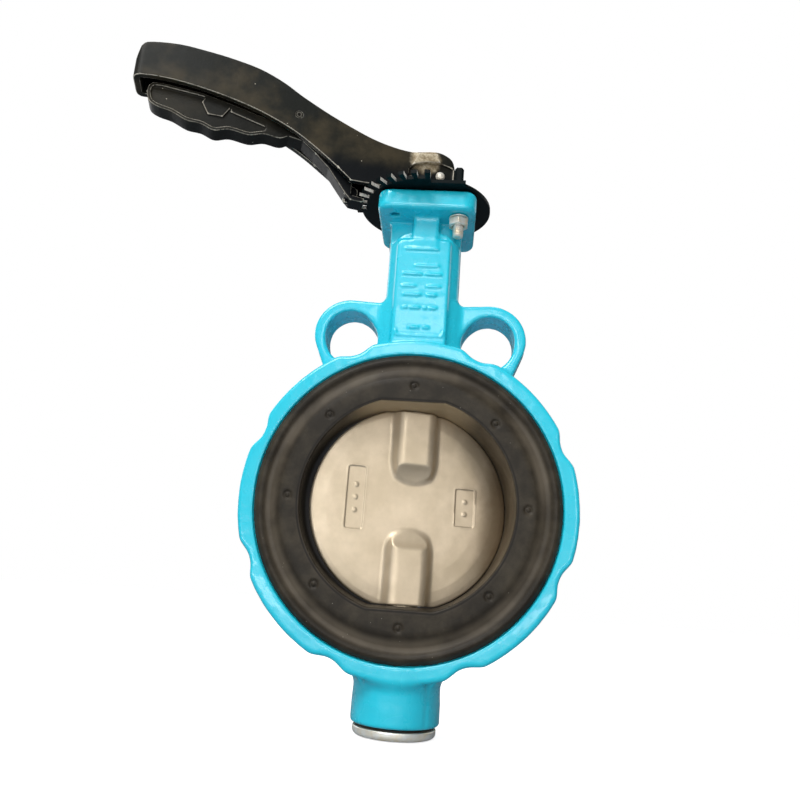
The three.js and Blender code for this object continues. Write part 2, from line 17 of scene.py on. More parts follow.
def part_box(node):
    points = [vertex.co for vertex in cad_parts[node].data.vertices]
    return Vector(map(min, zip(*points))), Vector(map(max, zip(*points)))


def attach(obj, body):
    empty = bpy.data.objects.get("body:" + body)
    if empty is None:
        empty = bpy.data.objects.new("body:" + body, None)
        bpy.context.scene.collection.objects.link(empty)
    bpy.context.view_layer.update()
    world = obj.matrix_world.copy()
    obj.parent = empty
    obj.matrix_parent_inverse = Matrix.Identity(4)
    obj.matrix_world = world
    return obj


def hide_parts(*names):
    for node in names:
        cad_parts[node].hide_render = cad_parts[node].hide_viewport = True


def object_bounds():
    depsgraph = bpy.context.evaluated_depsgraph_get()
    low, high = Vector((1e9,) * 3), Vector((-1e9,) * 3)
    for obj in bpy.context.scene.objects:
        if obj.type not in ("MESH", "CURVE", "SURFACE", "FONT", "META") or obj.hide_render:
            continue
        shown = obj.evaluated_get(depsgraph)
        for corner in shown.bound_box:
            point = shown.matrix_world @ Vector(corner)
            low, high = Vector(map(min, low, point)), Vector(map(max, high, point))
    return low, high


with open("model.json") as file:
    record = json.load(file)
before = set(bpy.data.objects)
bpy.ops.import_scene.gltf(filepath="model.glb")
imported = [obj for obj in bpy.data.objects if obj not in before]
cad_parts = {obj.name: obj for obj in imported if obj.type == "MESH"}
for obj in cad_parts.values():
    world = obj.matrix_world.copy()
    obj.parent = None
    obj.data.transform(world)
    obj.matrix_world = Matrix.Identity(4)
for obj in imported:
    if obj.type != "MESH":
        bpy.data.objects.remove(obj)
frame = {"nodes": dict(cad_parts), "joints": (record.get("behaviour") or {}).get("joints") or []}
CAD_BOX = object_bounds()
NODES = frame["nodes"]

MM = 0.001
GAP = 0.3  # mm left between neighbouring pieces
turn_joint = next(j for j in frame["joints"] if j["name"] == "valve_turn")
OPEN_ANGLE = -math.radians(turn_joint["range_deg"][0])
TURNED = Matrix.Rotation(OPEN_ANGLE, 4, "Z")
COARSE = 1.0


def box_mm(node):
    """Lowest and highest corner of a CAD node, in millimetres."""
    low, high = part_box(node)
    return np.array(low) / MM, np.array(high) / MM


# ---- signed distance kit ------------------------------------------------------------
def rounded_and(a, b, r=0.0):
    """Where two shapes meet, their shared edge rounded to radius r."""
    if r <= 0:
        return np.maximum(a, b)
    corner = np.hypot(np.maximum(a + r, 0), np.maximum(b + r, 0))
    return np.minimum(np.maximum(a, b), -r) + corner


def rounded_or(a, b, r=0.0):
    """Two shapes as one, with a fillet of radius r between them."""
    return -rounded_and(-a, -b, r)


def between(v, low, high):
    return np.maximum(low - v, v - high)


def rectangle(u, v, half_u, half_v, r=0.0):
    """A rectangle round the origin with corners of radius r."""
    du = np.abs(u) - half_u + r
    dv = np.abs(v) - half_v + r
    return np.hypot(np.maximum(du, 0), np.maximum(dv, 0)) + np.minimum(np.maximum(du, dv), 0) - r


def polygon(u, v, corners):
    """A closed outline of (u, v) corners."""
    shape = np.broadcast(u, v).shape
    nearest = np.full(shape, 1e9, np.float32)
    inside = np.zeros(shape, bool)
    for (au, av), (bu, bv) in zip(corners, corners[1:] + corners[:1]):
        eu, ev = bu - au, bv - av
        along = np.clip(((u - au) * eu + (v - av) * ev) / (eu * eu + ev * ev), 0, 1)
        gap = (u - au - along * eu) ** 2 + (v - av - along * ev) ** 2
        nearest = np.minimum(nearest, gap)
        spans = (av > v) != (bv > v)
        if ev:
            inside ^= spans & (u < au + (v - av) * eu / ev)
    return np.where(inside, -1, 1) * np.sqrt(nearest)


def bar(u, v, start, end, r):
    """A straight bar with round ends, seen from the side."""
    eu, ev = end[0] - start[0], end[1] - start[1]
    along = np.clip(((u - start[0]) * eu + (v - start[1]) * ev) / (eu * eu + ev * ev), 0, 1)
    return np.hypot(u - start[0] - along * eu, v - start[1] - along * ev) - r


def hexagon(u, v, flats):
    """A hexagon round the origin, by its width across flats, with a corner on u."""
    slant = math.sqrt(3) / 2
    sides = np.maximum(np.abs(v), np.abs(u) * slant + np.abs(v) / 2)
    return sides - flats / 2


def spline(points, count):
    """A smooth line of count points through the given ones."""
    p = np.array(points, float)
    p = np.vstack([2 * p[0] - p[1], p, 2 * p[-1] - p[-2]])
    out = []
    for t in np.linspace(0, len(points) - 1, count):
        i = min(int(t), len(points) - 2)
        f = t - i
        a, b, c, d = p[i : i + 4]
        straight = 2 * b + (c - a) * f
        bend = (2 * a - 5 * b + 4 * c - d) * f**2
        twist = (3 * b - a - 3 * c + d) * f**3
        out.append(tuple(0.5 * (straight + bend + twist)))
    return out


class Field:
    """A signed distance on a grid, negative inside the piece, in millimetres."""

    MARGIN = 3  # steps of empty room round the piece, and how far off its skin the distance is kept

    def __init__(self, low, high, step):
        self.step = step * COARSE
        self.low = np.array(low, float) - self.MARGIN * self.step
        counts = np.ceil((np.array(high) - self.low) / self.step).astype(int) + self.MARGIN + 1
        axes = [(self.low[i] + self.step * np.arange(counts[i])).astype(np.float32) for i in range(3)]
        self.x, self.y, self.z = np.meshgrid(*axes, indexing="ij", sparse=True)
        self.value = np.full(counts, 1e3, np.float32)

    def add(self, shape, fillet=0.0):
        self.value = rounded_or(self.value, shape, fillet)

    def cut(self, shape, edge=0.0):
        self.value = rounded_and(self.value, -shape, edge)

    def lumps(self, size, height, seed):
        """Slow unevenness of a cast skin, always inwards, so that the piece stays in its box."""
        rng = np.random.default_rng(seed)
        wave = np.zeros_like(self.value)
        terms = 5
        for _ in range(terms):
            kx, ky, kz = rng.normal(0, 2 * math.pi / size, 3)
            px, py, pz = rng.uniform(0, 2 * math.pi, 3)
            wave += np.sin(kx * self.x + px) * np.sin(ky * self.y + py) * np.sin(kz * self.z + pz)
        self.value += height * (1 + wave / terms)

    def mesh(self, name, place):
        """The piece's skin, in metres, moved by the matrix place."""
        kept = self.MARGIN * self.step
        grid = openvdb.FloatGrid(background=1e3)
        grid.copyFromArray(np.ascontiguousarray(np.clip(self.value, -kept, kept)))
        points, quads = grid.convertToQuads()
        points = (points * self.step + self.low) * MM
        points = points @ np.array(place.to_3x3()).T + np.array(place.translation)
        mesh = bpy.data.meshes.new(name)
        mesh.vertices.add(len(points))
        mesh.vertices.foreach_set("co", points.astype(np.float32).ravel())
        mesh.loops.add(4 * len(quads))
        mesh.loops.foreach_set("vertex_index", quads.astype(np.int32).ravel())
        mesh.polygons.add(len(quads))
        mesh.polygons.foreach_set("loop_start", np.arange(0, 4 * len(quads), 4, dtype=np.int32))
        mesh.update(calc_edges=True)
        mesh.validate()
        mesh.shade_smooth()
        return mesh


def piece(name, field, body, slot, node, turned=False, place=(0, 0, 0)):
    """A meshed field as an object that stands for a CAD node."""
    standing = Matrix.Translation(Vector(place) * MM) @ (TURNED if turned else Matrix())
    obj = bpy.data.objects.new(name, field.mesh(name, standing))
    bpy.context.scene.collection.objects.link(obj)
    obj.data.materials.append(MATERIALS[slot])
    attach(obj, body)
    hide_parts(node)
    return obj


# ---- material kit -------------------------------------------------------------------
class Look:
    """A node material being built up round one Principled shader. Places are in metres."""

    def __init__(self, name):
        self.material = bpy.data.materials.new(name)
        self.material.use_nodes = True
        self.tree = self.material.node_tree
        self.shader = self.tree.nodes["Principled BSDF"]
        self.where = self.add("ShaderNodeTexCoord").outputs["Object"]

    def add(self, kind, inputs=None, **settings):
        made = self.tree.nodes.new(kind)
        for key, value in settings.items():
            setattr(made, key, value)
        for key, value in (inputs or {}).items():
            self.put(made.inputs[key], value)
        return made

    def put(self, socket, value):
        if isinstance(value, bpy.types.NodeSocket):
            self.tree.links.new(value, socket)
        elif isinstance(value, tuple) and len(value) == 3 and socket.type == "RGBA":
            socket.default_value = (*value, 1)
        else:
            socket.default_value = value

    def noise(self, size_mm, detail=2.0, rough=0.5, stretch=None):
        where = self.where
        if stretch:
            where = self.add("ShaderNodeMapping", {"Vector": where, "Scale": stretch}).outputs[0]
        wanted = {"Vector": where, "Scale": 1 / (size_mm * MM), "Detail": detail, "Roughness": rough}
        return self.add("ShaderNodeTexNoise", wanted).outputs["Fac"]

    def specks(self, size_mm, radius=0.18):
        """Small round spots, one in each cell of that size."""
        cells = self.add("ShaderNodeTexVoronoi", {"Vector": self.where, "Scale": 1 / (size_mm * MM)})
        return self.band(cells.outputs["Distance"], radius, radius * 0.6)

    def band(self, value, low, high):
        """0 at low to 1 at high, eased."""
        wanted = {"Value": value, "From Min": low, "From Max": high}
        return self.add("ShaderNodeMapRange", wanted, interpolation_type="SMOOTHSTEP").outputs[0]

    def math(self, how, a, b=0.0):
        made = self.add("ShaderNodeMath", operation=how)
        self.put(made.inputs[0], a)
        self.put(made.inputs[1], b)
        return made.outputs[0]

    def vector(self, how, a, b=(0, 0, 0)):
        """Vector arithmetic, giving a plain number where the operation does."""
        made = self.add("ShaderNodeVectorMath", {0: a, 1: b}, operation=how)
        return made.outputs["Value" if how in ("LENGTH", "DISTANCE", "DOT_PRODUCT") else "Vector"]

    def part(self, vector, axis):
        """One coordinate of a vector."""
        return self.add("ShaderNodeSeparateXYZ", {"Vector": vector}).outputs[axis]

    def mix(self, fac, a, b):
        """A colour going from a to b."""
        made = self.add("ShaderNodeMix", data_type="RGBA")
        for socket, value in ((made.inputs[0], fac), (made.inputs[6], a), (made.inputs[7], b)):
            self.put(socket, value)
        return made.outputs[2]

    def level(self, fac, a, b):
        """A plain number going from a to b."""
        made = self.add("ShaderNodeMix", data_type="FLOAT")
        for socket, value in zip(made.inputs[:1] + made.inputs[2:4], (fac, a, b)):
            self.put(socket, value)
        return made.outputs[0]

    def edges(self, low, high):
        """1 on sharp outer edges, 0 on flat ground, from how pointed the mesh is; used for wear and for
        painted edge highlights.
        """
        return self.band(self.add("ShaderNodeNewGeometry").outputs["Pointiness"], low, high)

    def crevices(self, reach_mm):
        """0 deep in a corner, 1 in the open."""
        wanted = {"Distance": reach_mm * MM}
        return self.add("ShaderNodeAmbientOcclusion", wanted, samples=8, only_local=True).outputs["AO"]

    def bump(self, *heights):
        """Stacks (height, depth in mm) into the shader's normal."""
        normal = None
        for height, depth in heights:
            made = self.add("ShaderNodeBump", {"Height": height, "Distance": depth * MM, "Strength": 1.0})
            if normal is not None:
                self.put(made.inputs["Normal"], normal)
            normal = made.outputs["Normal"]
        self.put(self.shader.inputs["Normal"], normal)

    def set(self, **inputs):
        for key, value in inputs.items():
            self.put(self.shader.inputs[key.replace("_", " ")], value)
        return self.material


def paint():
    """Thick cyan enamel over a sand casting, paler on its outer edges: partly wear, partly a painted
    highlight.
    """
    look = Look("paint_enamel")
    cloud = look.noise(35, 3)
    base = look.mix(cloud, (0.006, 0.50, 0.66), (0.022, 0.60, 0.74))
    # Paler cyan on sharp outer edges: partly wear, partly a painted highlight.
    worn = look.math("MULTIPLY", look.edges(0.55, 0.68), look.noise(6, 3))
    base = look.mix(look.math("MULTIPLY", worn, 0.6), base, (0.30, 0.86, 0.94))
    look.bump((look.noise(9, 3, 0.55), 0.22), (look.noise(2.2, 2), 0.035))
    rough = look.level(look.noise(12, 3), 0.20, 0.34)
    return look.set(Base_Color=base, Roughness=rough, Coat_Weight=0.3, Coat_Roughness=0.06)


def rubber():
    """Moulded black rubber with a dusty brown cast, painted light and shade in its bore, and a painted
    sheen in the valley of its face.
    """
    look = Look("rubber_moulded")
    dust = look.band(look.noise(16, 5, 0.62), 0.35, 0.75)
    base = look.mix(dust, (0.018, 0.014, 0.009), (0.050, 0.040, 0.026))
    reach = look.vector("LENGTH", look.vector("MULTIPLY", look.where, (1, 0, 1)))
    height = look.math("ABSOLUTE", look.part(look.where, "Z"))
    bore = look.mix(dust, (0.080, 0.060, 0.036), (0.125, 0.098, 0.062))  # painted light: the bore wall drawn paler, as if lit and reflecting the disc
    # Painted reflection: the bore wall brighter still towards its top and bottom, by the flats.
    bore = look.mix(look.band(height, 0.040, 0.050), bore, (0.42, 0.32, 0.19))
    upper_right = look.math("ADD", look.part(look.where, "X"), look.part(look.where, "Z"))
    shade_low_left = (0.012, 0.009, 0.006)  # painted shade, darkest low on the left of the bore
    # Painted shade: the bore wall dark low on the left and lit up to the right.
    bore = look.mix(look.band(upper_right, -0.030, 0.035), shade_low_left, bore)
    # Painted sheen: a paler band along the valley of the face, broken up by noise.
    valley = look.math("MULTIPLY", look.band(reach, 0.0632, 0.0670), look.band(reach, 0.0722, 0.0695))
    valley_sheen = look.math("MULTIPLY", valley, look.band(look.noise(40, 3, 0.5), 0.30, 0.66))
    base = look.mix(look.math("MULTIPLY", valley_sheen, 0.75), base, (0.128, 0.105, 0.076))
    past_round = look.math("SUBTRACT", reach, MOUTH_EDGE_R * MM)
    past_flats = look.math("SUBTRACT", height, MOUTH_FLAT * MM)
    outside = look.math("MAXIMUM", past_round, past_flats)
    # Inside the mouth, the bore's painted light and shade take over.
    base = look.mix(look.band(outside, 0.0004, -0.0002), base, bore)
    # Painted shade: a dark line along the moulding groove round the mouth.
    line = look.math("ABSOLUTE", look.math("SUBTRACT", outside, 0.0012))
    base = look.mix(look.band(line, 0.0006, 0.0002), base, (0.010, 0.007, 0.004))
    base = look.mix(look.math("MULTIPLY", look.specks(5.0, 0.05), 0.45), base, (0.35, 0.32, 0.27))
    look.bump((look.noise(0.7, 3), 0.03), (look.noise(9, 2), 0.10))
    rough = look.level(look.noise(10, 4), 0.40, 0.60)
    return look.set(Base_Color=base, Roughness=rough, Specular_IOR_Level=0.2)


def stainless():
    """Bead-blasted investment casting, with painted shade towards its right rim and in its corners."""
    look = Look("stainless_blasted")
    cloud = look.band(look.noise(22, 4, 0.6), 0.3, 0.75)
    base = look.mix(cloud, (0.56, 0.46, 0.32), (0.71, 0.59, 0.43))
    # Painted shade: darker brown towards the rim on the right, ragged by noise.
    across = look.part(look.where, "X")
    right_rim_shade = look.math("ADD", across, look.math("MULTIPLY", look.noise(14, 4), 0.016))
    base = look.mix(look.math("MULTIPLY", look.band(right_rim_shade, 0.034, 0.060), 0.9), base, (0.20, 0.135, 0.07))
    # Painted shade deep in corners, from the occlusion node.
    corner = look.band(look.crevices(9), 0.40, 0.96)
    base = look.mix(corner, (0.065, 0.045, 0.024), base)
    look.bump((look.noise(0.55, 3, 0.6), 0.035), (look.noise(12, 2), 0.15))
    rough = look.level(look.noise(5, 3), 0.36, 0.48)
    return look.set(Base_Color=base, Metallic=0.55, Roughness=rough)


def black_steel(name, fresh, rubbed, worn_at=None, wear=0.8):
    """Thin black coating over forged steel, rubbed brown and bright along its edges (partly wear, partly a
    painted highlight), and painted shade near black low down.
    """
    look = Look(name)
    patch = look.band(look.noise(34, 4, 0.6), 0.46, 0.72)
    base = look.mix(patch, fresh, rubbed)
    # Painted shade: near black below about 0.19 m, low on the hub by the teeth.
    height = look.part(look.where, "Z")
    shade_below = look.math("ADD", height, look.math("MULTIPLY", look.noise(8, 3), 0.008))
    base = look.mix(look.band(shade_below, 0.190, 0.200), (0.004, 0.005, 0.006), base)
    if worn_at:
        away = look.vector("DISTANCE", look.where, worn_at)
        ragged = look.math("ADD", away, look.math("MULTIPLY", look.noise(6, 4), 0.006))
        grain = look.band(look.noise(2.5, 4, 0.7), 0.35, 0.65)
        blotch = look.mix(grain, (0.22, 0.17, 0.10), (0.52, 0.45, 0.32))
        base = look.mix(look.band(ragged, 0.0135, 0.0095), base, blotch)
    # Paler on sharp edges: partly wear, partly a painted highlight.
    broken = look.band(look.noise(3.5, 4, 0.7), 0.28, 0.46)
    scuffs_and_highlight = look.math("MULTIPLY", look.edges(0.524, 0.556), broken)
    base = look.mix(look.math("MULTIPLY", scuffs_and_highlight, wear), base, (0.66, 0.61, 0.50))
    base = look.mix(look.math("MULTIPLY", look.specks(7.0, 0.05), 0.8), base, (0.55, 0.50, 0.40))
    look.bump((look.noise(1.3, 4, 0.6), 0.06), (look.noise(15, 3), 0.20))
    rough = look.level(look.noise(8, 4, 0.6), 0.30, 0.48)
    return look.set(Base_Color=base, Metallic=0.0, Roughness=rough, Specular_IOR_Level=0.10)


def plated():
    """Zinc plate with a warm passivation tint."""
    look = Look("zinc_plate")
    tint = look.band(look.noise(4, 3), 0.35, 0.7)
    base = look.mix(tint, (0.86, 0.84, 0.77), (0.82, 0.72, 0.54))
    look.bump((look.noise(0.4, 3), 0.01), (look.noise(3, 2), 0.03))
    rough = look.level(look.noise(2, 3), 0.26, 0.40)
    return look.set(Base_Color=base, Metallic=0.6, Roughness=rough)


def black_plate():
    """Stamped plate: black faces, bright sheared sides in the notches."""
    look = Look("plate_black_stamped")
    normal = look.add("ShaderNodeNewGeometry").outputs["Normal"]
    flat = look.vector("MULTIPLY", look.where, (1, 1, 0))
    radial = look.vector("DOT_PRODUCT", look.vector("NORMALIZE", flat), normal)
    upright = look.band(look.math("ABSOLUTE", look.part(normal, "Z")), 0.7, 0.4)
    sideways = look.band(look.math("ABSOLUTE", radial), 0.75, 0.45)
    toothed = look.band(look.vector("LENGTH", flat), 0.0355, 0.0362)
    notched = look.math("MULTIPLY", toothed, look.math("MULTIPLY", upright, sideways))
    wear = look.band(look.noise(1.5, 4, 0.7), 0.28, 0.48)
    bare = look.math("MULTIPLY", notched, wear)
    base = look.mix(look.noise(20, 4, 0.6), (0.001, 0.003, 0.003), (0.004, 0.008, 0.009))
    base = look.mix(bare, base, (0.88, 0.84, 0.76))
    look.bump((look.noise(0.9, 3), 0.03), (look.noise(10, 2), 0.08))
    rough = look.level(look.noise(6, 3), 0.34, 0.48)
    return look.set(Base_Color=base, Metallic=look.math("MULTIPLY", bare, 0.6), Roughness=rough,
                    Specular_IOR_Level=0.06)


def bronze():
    """Turned bearing bronze."""
    look = Look("bronze_bush")
    base = look.mix(look.noise(3, 3), (0.36, 0.22, 0.09), (0.46, 0.30, 0.13))
    look.bump((look.noise(0.5, 2, stretch=(1, 1, 12)), 0.01), (look.noise(4, 2), 0.02))
    return look.set(Base_Color=base, Metallic=0.9, Roughness=look.level(look.noise(2, 2), 0.3, 0.45))


MOUTH_EDGE_R, MOUTH_FLAT = 53.4, 50.9  # the seat's mouth at its face: round, with flats over the stems
WORN_LEVER_BOSS = (-0.0027, -0.0130, 0.1990)  # in metres
MATERIALS = {
    "paint": paint(),
    "rubber": rubber(),
    "stainless": stainless(),
    "black_steel": black_steel(
        "steel_black_lever", (0.009, 0.010, 0.008), (0.046, 0.037, 0.022), WORN_LEVER_BOSS),
    "black_cast": black_steel("steel_black_trigger", (0.008, 0.008, 0.006), (0.022, 0.019, 0.012)),
    "plated": plated(),
    "bronze": bronze(),
}
PIN_BLACK = black_steel("steel_black_pin", (0.006, 0.006, 0.005), (0.020, 0.017, 0.012), wear=0.1)
PLATE_BLACK = black_plate()


# ---- the casting --------------------------------------------------------------------
body_low, body_high = box_mm("valve_body")
liner_low, liner_high = box_mm("seat_liner")
SEAM = 0.25  # height of the foundry's parting line
SKIN = 0.12  # unevenness of the cast skin
BODY_R = body_high[0] - SEAM
LIP_PROUD = 2.5  # how far the rubber stands out of each face, and how deep it is let in
BODY_HALF = liner_high[1] - LIP_PROUD
LIP_R = liner_high[0]
LIP_SEAT = BODY_HALF - LIP_PROUD
LINER_R = LIP_R - 18.9
FLANGE_HALF = body_high[1] - SEAM
FLANGE_TOP = body_high[2]
FLANGE_LOW = FLANGE_TOP - 12.2
BOSS_R, BOSS_LOW, BOSS_TOP = 21.8, body_low[2], -70
STEM_BORE_R, STEM_BORE_FROM = 11.3, 50  # through the casting, starting inside the seat
STEM_HOLE_R = 8.2  # through the seat and into the disc
SQUARE_HALF = 5.8  # the square hole that turns the disc, and the one in the lever's hub
NECK_HALF, NECK_DEPTH, NECK_CHAMFER, NECK_LOW = 20, 16, 5.5, 66
PAD_FRONT = -17.5
PAD_HALF, PAD_LOW, PAD_TOP = 15.2, 81, 146
RIB_HALF, RIB_TALL = 7, 20
EAR_ANGLE = math.radians(22.5)
EAR_PCR, EAR_R, EAR_HOLE_R, EAR_HALF = 99.4, 19.6, 13.1, 10.3
EAR_X = EAR_PCR * math.sin(EAR_ANGLE)
EAR_Z = EAR_PCR * math.cos(EAR_ANGLE)
SCALLOP_PCR, SCALLOP_R = 96.2, 14
BOLT_REACH = 25 / math.sqrt(2)  # flange holes on a 50 mm circle
HOLE_R, SPARE_HOLE_R = 3.5, 2.6
POCKET_Y = 10.2
GROOVE_LOW, GROOVE_HIGH, GROOVE_DEEP = 164.8, 166.8, 1.3  # for the retaining ring


def ears(f):
    """Both guide ears at once: the casting is alike left and right."""
    x, y, z = np.abs(f.x), f.y, f.z
    loop = np.hypot(x - EAR_X, z - EAR_Z) - EAR_R
    aside, along = EAR_R * math.cos(EAR_ANGLE), EAR_R * math.sin(EAR_ANGLE)
    root = 60  # where the lug starts, inside the ring
    web = polygon(x, z, [
        (NECK_HALF - 6, 72), (root * math.sin(EAR_ANGLE) + aside, root * math.cos(EAR_ANGLE) - along),
        (EAR_X + aside, EAR_Z - along), (EAR_X, EAR_Z + EAR_R), (NECK_HALF - 6, EAR_Z + EAR_R - 1.4),
    ])
    f.add(rounded_and(np.minimum(loop, web), np.abs(y) - EAR_HALF, 1.6), fillet=4.5)


def casting_marks(f):
    """Plain raised dashes and a frame line where a foundry casts its particulars."""
    proud, dash_r, line_r = 0.85, 0.75, 0.5
    depth = np.abs(f.y - PAD_FRONT) - proud
    rows = (
        (139.7, ((-10, 7.5),)),
        (129.8, ((-4, 8),)),
        (124.9, ((-10.5, -1), (2, 9.5))),
        (117.8, ((-10.5, -4), (3, 9.5))),
        (112.8, ((-9.5, -1), (3.5, 7.5))),
        (105.3, ((-9, -7.5), (-5.5, -1), (2, 3), (5, 8))),
        (94.2, ((-5, -0.5), (2.5, 4.5))),
    )
    for height, dashes in rows:
        for left, right in dashes:
            dash = bar(f.x, f.z, (left, height), (right, height), dash_r)
            f.add(rounded_and(dash, depth, 0.3), fillet=0.5)
    left, right = (-12.2, 89.6), (12.2, 89.6)
    for start, end in ((left, right), (left, (-12.8, 92)), (right, (12.8, 92))):
        f.add(rounded_and(bar(f.x, f.z, start, end, line_r), depth, 0.3), fillet=0.4)


def build_body():
    """Ring, neck, flange, boss and ears, then the hollows, then the cast skin, then what is machined."""
    f = Field(body_low, body_high, 0.75)
    x, y, z = f.x, f.y, f.z
    across = np.hypot(x, z)
    stem = np.hypot(x, y)
    f.add(rounded_and(across - BODY_R, np.abs(y) - BODY_HALF, 2.2))
    f.add(rounded_and(stem - BOSS_R, between(z, BOSS_LOW, BOSS_TOP), 1.5), fillet=5)
    corner_at = NECK_HALF + NECK_DEPTH - NECK_CHAMFER
    chamfer = (np.abs(x) + np.abs(y) - corner_at) / math.sqrt(2)
    section = rounded_and(rectangle(x, y, NECK_HALF, NECK_DEPTH), chamfer, 1.5)
    f.add(rounded_and(section, between(z, NECK_LOW, FLANGE_LOW + 1)), fillet=4)
    ears(f)
    plan = rectangle(x, y, FLANGE_HALF, FLANGE_HALF, 7)
    f.add(rounded_and(plan, between(z, FLANGE_LOW, FLANGE_TOP), 2.8), fillet=3)
    pad = rectangle(x, z - (PAD_LOW + PAD_TOP) / 2, PAD_HALF, (PAD_TOP - PAD_LOW) / 2, 4)
    rib = rectangle(x, z - FLANGE_LOW - 1 + RIB_TALL / 2, RIB_HALF, RIB_TALL / 2)
    depth = between(y, PAD_FRONT, 0)
    f.add(rounded_and(pad, depth, 1.2), fillet=1.0)
    f.add(rounded_and(rib, depth, 1.0), fillet=1.5)
    casting_marks(f)
    for i in range(8):
        angle = EAR_ANGLE + i * math.pi / 4
        cx, cz = SCALLOP_PCR * math.sin(angle), SCALLOP_PCR * math.cos(angle)
        f.cut(np.hypot(x - cx, z - cz) - SCALLOP_R, edge=2.2)
    f.cut(np.hypot(np.abs(x) - EAR_X, z - EAR_Z) - EAR_HOLE_R, edge=1.0)
    pocket = polygon(np.abs(x), z, [
        (RIB_HALF + 0.5, FLANGE_LOW), (RIB_HALF + 0.5, 151), (12, 149.5), (NECK_HALF + 2, 142.5),
        (NECK_HALF + 2, FLANGE_LOW),
    ])
    f.cut(rounded_and(pocket, POCKET_Y - np.abs(y), 0.8), edge=0.8)
    f.lumps(14, SKIN, seed=3)
    f.value -= SEAM * np.exp(-((y / 0.7) ** 2)).astype(np.float32)
    corner = np.hypot(np.abs(x) - BOLT_REACH, np.abs(y) - BOLT_REACH)
    f.cut(corner - np.where(x * y < 0, HOLE_R, SPARE_HOLE_R), edge=0.4)
    f.cut(across - LINER_R - GAP, edge=0.5)
    f.cut(rounded_and(across - LIP_R - GAP, LIP_SEAT - np.abs(y)), edge=0.6)
    f.cut(rounded_and(stem - STEM_BORE_R, STEM_BORE_FROM - np.abs(z)), edge=0.4)
    f.cut(rounded_and(stem - STEM_BORE_R - GROOVE_DEEP, between(z, GROOVE_LOW, GROOVE_HIGH)))
    piece("casting", f, "valve", "paint", "valve_body")


# ---- the rubber seat ----------------------------------------------------------------
def build_liner():
    """A sleeve with a lip over each face, its mouth in front and its throat behind."""
    f = Field(liner_low, liner_high, 0.65)
    x, y, z = f.x, f.y, f.z
    across = np.hypot(x, z)
    face = liner_high[1]
    ball_r = 52.3  # what the disc's edge sweeps, with its gap
    bore_r, mouth_r, throat_r = 52.5, 53.3, 50.75
    nib_pcr, nib_hollow_r, nib_r = 59.5, 2.0, 1.1
    profile = ((0, face), (61.5, face), (63.5, face - 0.35), (66, face - 1.7), (68.5, face - 2.7),
               (70.2, face - 2.5), (72, face - 1.0), (73.3, face - 0.55), (74.6, face - 1.1),
               (LIP_R, face - 3.4), (LIP_R + 9, face - 20))
    height = np.abs(y) - np.interp(across, *zip(*profile)).astype(np.float32)
    sloping = 0.93  # over sloping ground the distance is a little less than the height
    f.add(rounded_and(height * sloping, across - LIP_R, 1.0))
    swept = np.sqrt(np.clip(ball_r**2 - y**2, throat_r**2, None))
    rear = np.maximum(swept, np.interp(y, (22, 25), (throat_r, mouth_r)))
    bore = across - np.where(y > 0, rear, np.interp(-y, (0, 14, 25.4), (ball_r, bore_r, mouth_r)))
    land = np.abs(z) - np.interp(np.abs(y), (16.3, 25.7), (49.9, MOUTH_FLAT))  # flats over the stem holes
    bore = rounded_and(bore, land, 0.3).astype(np.float32)
    f.cut(bore, edge=0.45)
    lip = rounded_and(np.abs(bore - 1.2) - 0.4, face - 0.4 - np.abs(y))  # moulding line round the mouth
    f.cut(lip, edge=0.1)
    f.cut(rounded_and(LINER_R - across, np.abs(y) - LIP_SEAT - GAP))  # the casting's own room
    f.cut(np.hypot(x, y) - STEM_HOLE_R, edge=0.5)
    for i in range(8):
        angle = i * math.pi / 4
        reach = np.hypot(x - nib_pcr * math.cos(angle), z - nib_pcr * math.sin(angle))
        f.cut(rounded_and(reach - nib_hollow_r, face - 0.8 - np.abs(y)), edge=0.3)
        f.add(rounded_and(reach - nib_r, between(np.abs(y), face - 3, face - 0.05), 0.4), fillet=0.2)
    piece("rubber_seat", f, "valve", "rubber", "seat_liner")


